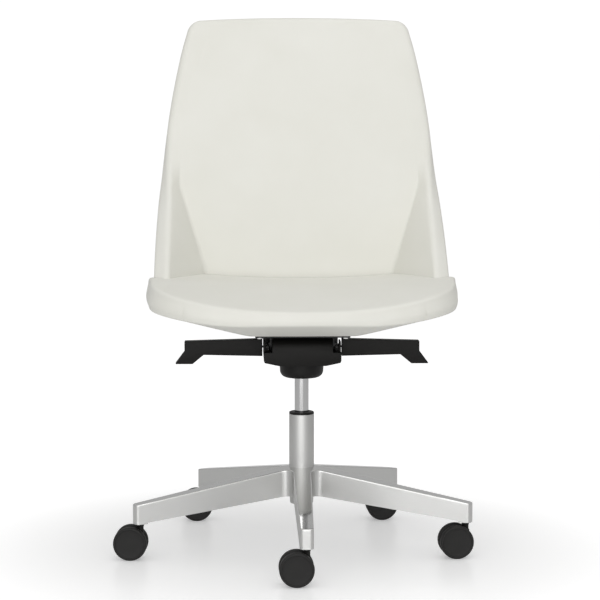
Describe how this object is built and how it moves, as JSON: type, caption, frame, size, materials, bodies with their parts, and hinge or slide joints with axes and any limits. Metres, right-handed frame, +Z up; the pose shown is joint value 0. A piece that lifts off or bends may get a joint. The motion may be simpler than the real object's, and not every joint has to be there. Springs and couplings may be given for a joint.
{
  "type": "swivel office chair",
  "caption": "Upholstered swivel office chair: a one-piece padded shell with side wings on a tilting mechanism with two levers, a gas-lift column and a polished star base on twin-wheel castors.",
  "frame": {"origin": "on the floor, under the middle of the box around the whole chair at rest", "axes": "+Z up, -Y towards the front edge of the seat, +X towards the right-hand lever as seen from the front"},
  "size_m": [0.7108, 0.657, 1.0667],
  "materials": {
    "polished_aluminium": "mirror-polished top faces, finely brushed sides",
    "black_plastic": "smooth satin black",
    "wheel_plastic": "smooth satin black",
    "bright_steel": "bright zinc plate",
    "chrome_rod": "ground and chromed",
    "black_rubber": "matte",
    "blackened_steel": "black, low sheen",
    "shell_board": "bare moulded board, hidden inside the upholstery",
    "cover_leather": "smooth pale cream leather-look cover",
    "padded_upholstery": "smooth pale cream leather-look cover over foam"
  },
  "bodies": {
    "base": {"star_base": "polished_aluminium", "column_tube": "polished_aluminium", "guide_bush": "black_plastic", "thrust_bearing": "bright_steel", "bump_stop": "black_rubber", "column_clip": "blackened_steel"},
    "piston": {"piston_rod": "bright_steel"},
    "lift": {"gas_cylinder": "chrome_rod", "column_cup": "black_plastic", "mechanism_housing": "black_plastic", "tilt_axle": "bright_steel", "tilt_spring": "blackened_steel", "axle_clip_left": "blackened_steel", "axle_clip_right": "blackened_steel", "lever_pin_left": "bright_steel", "lever_pin_right": "bright_steel"},
    "release_button": {"release_button": "bright_steel"},
    "right_lever": {"right_lever": "black_plastic", "release_arm": "blackened_steel"},
    "left_lever": {"left_lever": "black_plastic", "lock_arm": "blackened_steel"},
    "seat": {"seat_bracket": "blackened_steel", "seat_screw_front_left": "bright_steel", "seat_screw_front_right": "bright_steel", "seat_screw_rear_left": "bright_steel", "seat_screw_rear_right": "bright_steel", "inner_shell": "shell_board", "shell_cover": "cover_leather", "back_upholstery": "padded_upholstery", "seat_upholstery": "padded_upholstery"},
    "castor_1": {"castor_1_body": "black_plastic", "castor_1_stem": "bright_steel", "castor_1_axle": "bright_steel"},
    "castor_1_wheel_left": {"castor_1_wheel_left": "wheel_plastic"},
    "castor_1_wheel_right": {"castor_1_wheel_right": "wheel_plastic"},
    "castor_2": {"castor_2_body": "black_plastic", "castor_2_stem": "bright_steel", "castor_2_axle": "bright_steel"},
    "castor_2_wheel_left": {"castor_2_wheel_left": "wheel_plastic"},
    "castor_2_wheel_right": {"castor_2_wheel_right": "wheel_plastic"},
    "castor_3": {"castor_3_body": "black_plastic", "castor_3_stem": "bright_steel", "castor_3_axle": "bright_steel"},
    "castor_3_wheel_left": {"castor_3_wheel_left": "wheel_plastic"},
    "castor_3_wheel_right": {"castor_3_wheel_right": "wheel_plastic"},
    "castor_4": {"castor_4_body": "black_plastic", "castor_4_stem": "bright_steel", "castor_4_axle": "bright_steel"},
    "castor_4_wheel_left": {"castor_4_wheel_left": "wheel_plastic"},
    "castor_4_wheel_right": {"castor_4_wheel_right": "wheel_plastic"},
    "castor_5": {"castor_5_body": "black_plastic", "castor_5_stem": "bright_steel", "castor_5_axle": "bright_steel"},
    "castor_5_wheel_left": {"castor_5_wheel_left": "wheel_plastic"},
    "castor_5_wheel_right": {"castor_5_wheel_right": "wheel_plastic"}
  },
  "joints": [
    {"name": "castor_1_swivel", "type": "hinge", "parent": "base", "child": "castor_1", "pos_m": [0.01851, -0.3045, 0.07], "axis": [0, 0, 1], "continuous": true},
    {"name": "castor_1_wheel_left_roll", "type": "hinge", "parent": "castor_1", "child": "castor_1_wheel_left", "pos_m": [-0.00049, -0.30496, 0.03325], "axis": [0.0244, -0.9997, 0], "continuous": true},
    {"name": "castor_1_wheel_right_roll", "type": "hinge", "parent": "castor_1", "child": "castor_1_wheel_right", "pos_m": [-0.00049, -0.30496, 0.03325], "axis": [0.0244, -0.9997, 0], "continuous": true},
    {"name": "castor_2_swivel", "type": "hinge", "parent": "base", "child": "castor_2", "pos_m": [0.33901, -0.07164, 0.07], "axis": [0, 0, 1], "continuous": true},
    {"name": "castor_2_wheel_left_roll", "type": "hinge", "parent": "castor_2", "child": "castor_2_wheel_left", "pos_m": [0.32008, -0.07326, 0.03325], "axis": [0.0854, -0.9963, 0], "continuous": true},
    {"name": "castor_2_wheel_right_roll", "type": "hinge", "parent": "castor_2", "child": "castor_2_wheel_right", "pos_m": [0.32008, -0.07326, 0.03325], "axis": [0.0854, -0.9963, 0], "continuous": true},
    {"name": "castor_3_swivel", "type": "hinge", "parent": "base", "child": "castor_3", "pos_m": [0.21659, 0.30514, 0.07], "axis": [0, 0, 1], "continuous": true},
    {"name": "castor_3_wheel_left_roll", "type": "hinge", "parent": "castor_3", "child": "castor_3_wheel_left", "pos_m": [0.19761, 0.30414, 0.03325], "axis": [0.0523, -0.9986, 0], "continuous": true},
    {"name": "castor_3_wheel_right_roll", "type": "hinge", "parent": "castor_3", "child": "castor_3_wheel_right", "pos_m": [0.19761, 0.30414, 0.03325], "axis": [0.0523, -0.9986, 0], "continuous": true},
    {"name": "castor_4_swivel", "type": "hinge", "parent": "base", "child": "castor_4", "pos_m": [-0.17958, 0.30514, 0.07], "axis": [0, 0, 1], "continuous": true},
    {"name": "castor_4_wheel_left_roll", "type": "hinge", "parent": "castor_4", "child": "castor_4_wheel_left", "pos_m": [-0.19855, 0.30414, 0.03325], "axis": [0.0523, -0.9986, 0], "continuous": true},
    {"name": "castor_4_wheel_right_roll", "type": "hinge", "parent": "castor_4", "child": "castor_4_wheel_right", "pos_m": [-0.19855, 0.30414, 0.03325], "axis": [0.0523, -0.9986, 0], "continuous": true},
    {"name": "castor_5_swivel", "type": "hinge", "parent": "base", "child": "castor_5", "pos_m": [-0.302, -0.07164, 0.07], "axis": [0, 0, 1], "continuous": true},
    {"name": "castor_5_wheel_left_roll", "type": "hinge", "parent": "castor_5", "child": "castor_5_wheel_left", "pos_m": [-0.32096, -0.07045, 0.03325], "axis": [-0.0628, -0.998, 0], "continuous": true},
    {"name": "castor_5_wheel_right_roll", "type": "hinge", "parent": "castor_5", "child": "castor_5_wheel_right", "pos_m": [-0.32096, -0.07045, 0.03325], "axis": [-0.0628, -0.998, 0], "continuous": true},
    {"name": "seat_swivel", "type": "hinge", "parent": "base", "child": "piston", "pos_m": [0.01851, 0.0325, 0.094], "axis": [0, 0, 1], "continuous": true},
    {"name": "height_adjust", "type": "slide", "parent": "piston", "child": "lift", "axis": [0, 0, 1], "range_m": [-0.06, 0.05]},
    {"name": "release_press", "type": "slide", "parent": "lift", "child": "release_button", "axis": [0, 0, -1], "range_m": [0, 0.0045], "stiffness_N_per_m": 1500, "springref_m": -0.0005},
    {"name": "right_lever_lift", "type": "hinge", "parent": "lift", "child": "right_lever", "pos_m": [0.0875, 0.0075, 0.411], "axis": [0, -1, 0], "range_deg": [0, 3.5], "stiffness_Nm_per_rad": 4, "springref_deg": -2.86},
    {"name": "left_lever_lift", "type": "hinge", "parent": "lift", "child": "left_lever", "pos_m": [-0.05049, 0.0075, 0.411], "axis": [0, 1, 0], "range_deg": [0, 3.5], "stiffness_Nm_per_rad": 4, "springref_deg": -2.86},
    {"name": "seat_tilt", "type": "hinge", "parent": "lift", "child": "seat", "pos_m": [0.01851, -0.0125, 0.418], "axis": [-1, 0, 0], "range_deg": [0, 12], "stiffness_Nm_per_rad": 150, "springref_deg": -17.19}
  ],
  "couplings": [
    {"joint": "release_press", "follows": "right_lever_lift", "m_per_rad": 0.069}
  ]
}
